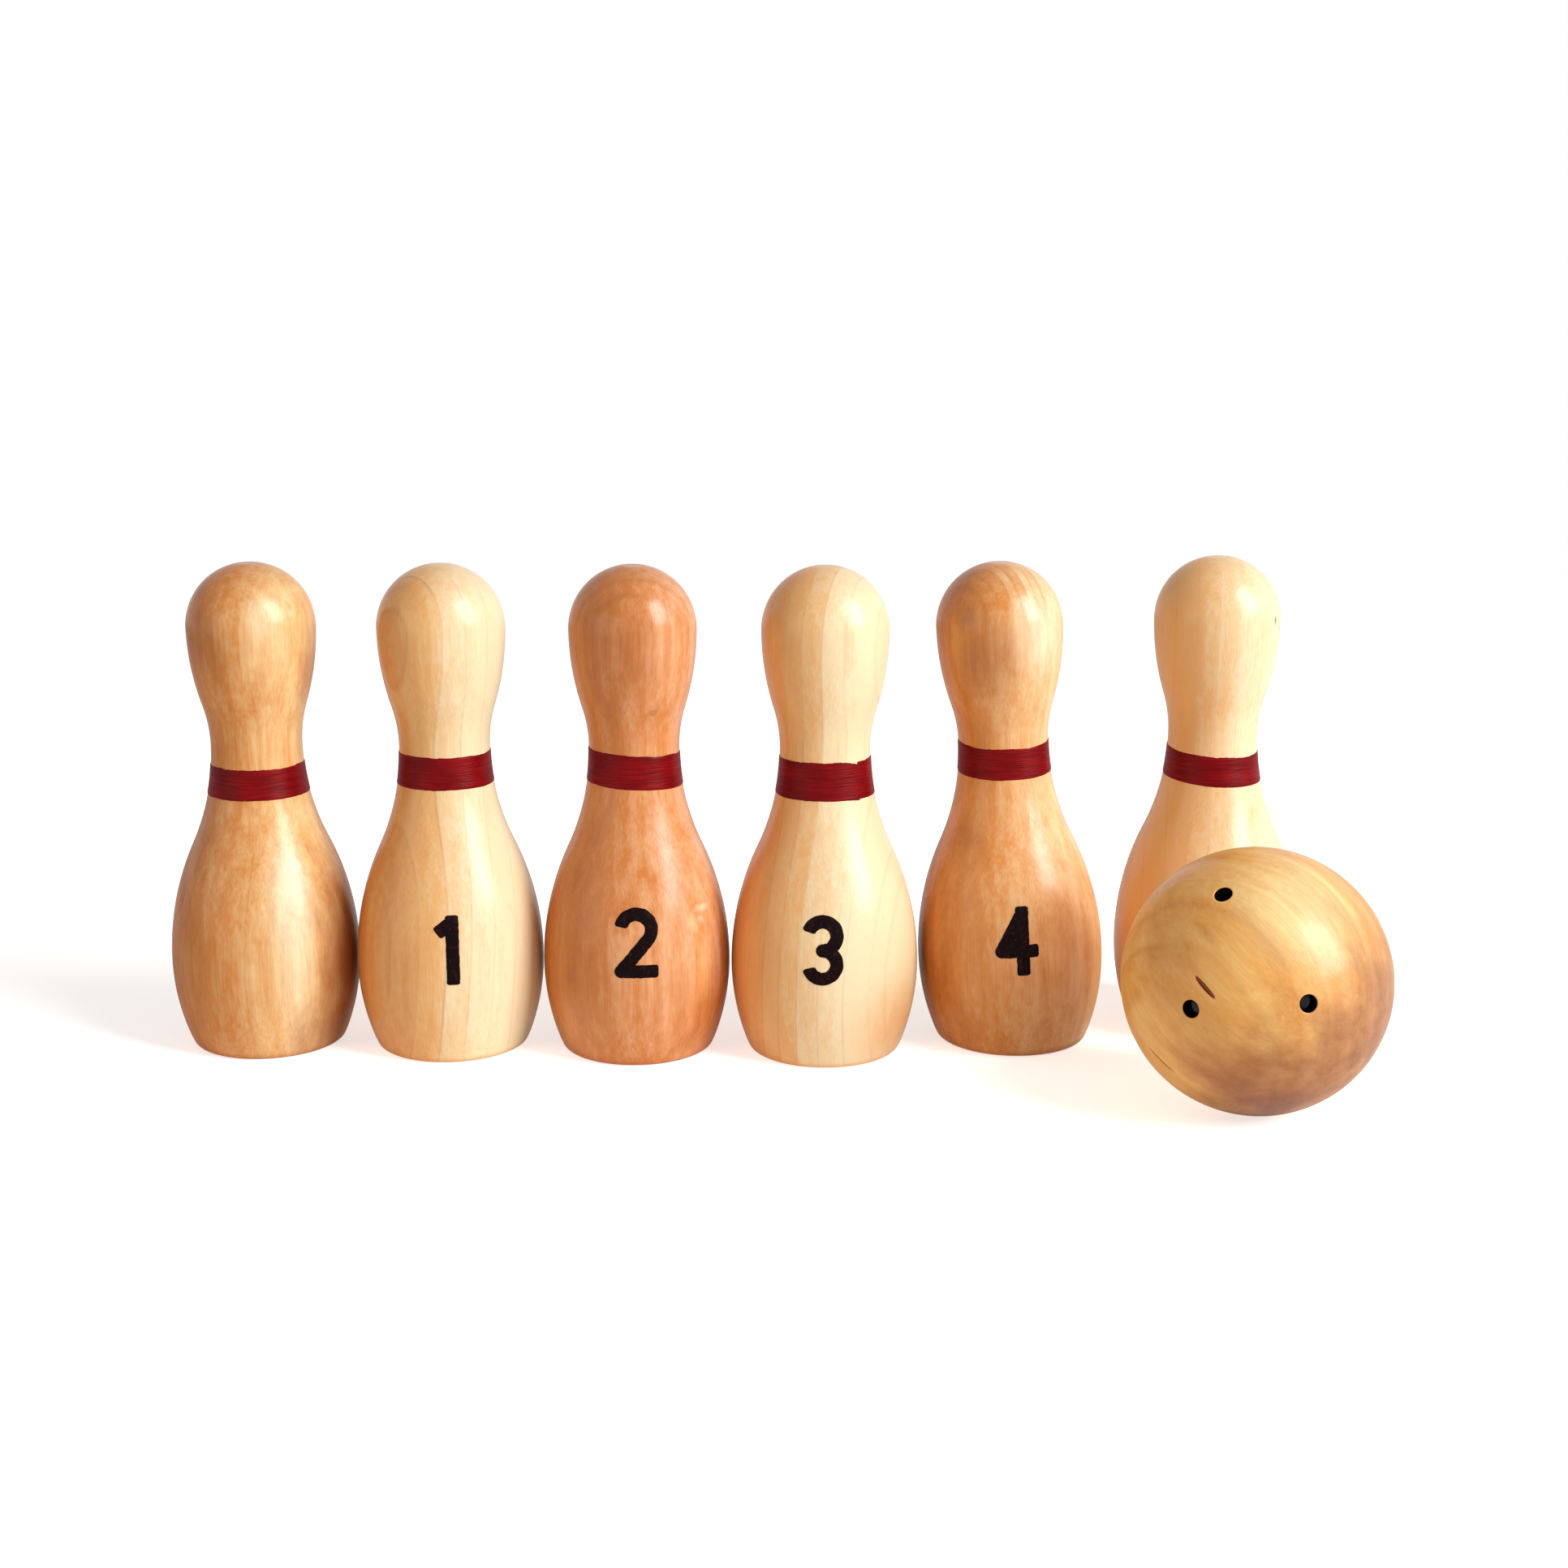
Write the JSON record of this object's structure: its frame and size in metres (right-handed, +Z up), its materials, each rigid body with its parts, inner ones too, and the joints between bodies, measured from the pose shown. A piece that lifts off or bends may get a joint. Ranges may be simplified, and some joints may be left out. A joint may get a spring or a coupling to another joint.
{
  "type": "wooden bowling set",
  "caption": "Small turned wooden bowling pins with a painted neck band, some with a painted numeral, and a wooden ball with finger holes.",
  "frame": {"origin": "middle of the floor area that the set covers, on the floor", "axes": "+X along the row of pins, +Y away from the player, +Z up"},
  "size_m": [0.277, 0.1126, 0.1143],
  "materials": {
    "pin_1_wood": "satin oiled",
    "pin_2_wood": "satin oiled",
    "pin_3_wood": "satin oiled",
    "pin_4_wood": "satin oiled",
    "pin_5_wood": "satin oiled",
    "pin_6_wood": "satin oiled",
    "ball_wood": "satin oiled",
    "red_paint": "brushed gloss paint",
    "black_paint": "brushed matt paint"
  },
  "bodies": {
    "pin_1": {"pin_1": "pin_1_wood", "pin_1_neck_band": "red_paint"},
    "pin_2": {"pin_2": "pin_2_wood", "pin_2_neck_band": "red_paint", "pin_2_numeral": "black_paint"},
    "pin_3": {"pin_3": "pin_3_wood", "pin_3_neck_band": "red_paint", "pin_3_numeral": "black_paint"},
    "pin_4": {"pin_4": "pin_4_wood", "pin_4_neck_band": "red_paint", "pin_4_numeral": "black_paint"},
    "pin_5": {"pin_5": "pin_5_wood", "pin_5_neck_band": "red_paint", "pin_5_numeral": "black_paint"},
    "pin_6": {"pin_6": "pin_6_wood", "pin_6_neck_band": "red_paint"},
    "ball": {"ball": "ball_wood"}
  },
  "joints": [
    {"name": "pin_2_topple", "type": "hinge", "parent": "pin_1", "child": "pin_2", "pos_m": [-0.07229, 0.03572, 0.00733], "axis": [-1, 0, 0], "range_deg": [0, 95.3]},
    {"name": "pin_3_topple", "type": "hinge", "parent": "pin_1", "child": "pin_3", "pos_m": [-0.02799, 0.03369, 0.00733], "axis": [-1, 0, 0], "range_deg": [0, 95.3]},
    {"name": "pin_4_topple", "type": "hinge", "parent": "pin_1", "child": "pin_4", "pos_m": [0.01631, 0.032, 0.00733], "axis": [-1, 0, 0], "range_deg": [0, 95.3]},
    {"name": "pin_5_topple", "type": "hinge", "parent": "pin_1", "child": "pin_5", "pos_m": [0.06194, 0.0402, 0.00733], "axis": [-1, 0, 0], "range_deg": [0, 95.3]},
    {"name": "pin_6_topple", "type": "hinge", "parent": "pin_1", "child": "pin_6", "pos_m": [0.10934, 0.05052, 0.00733], "axis": [-1, 0, 0], "range_deg": [0, 95.3]},
    {"name": "ball_run", "type": "slide", "parent": "pin_1", "child": "ball", "axis": [0, -1, 0], "range_m": [0, 0.45]}
  ]
}
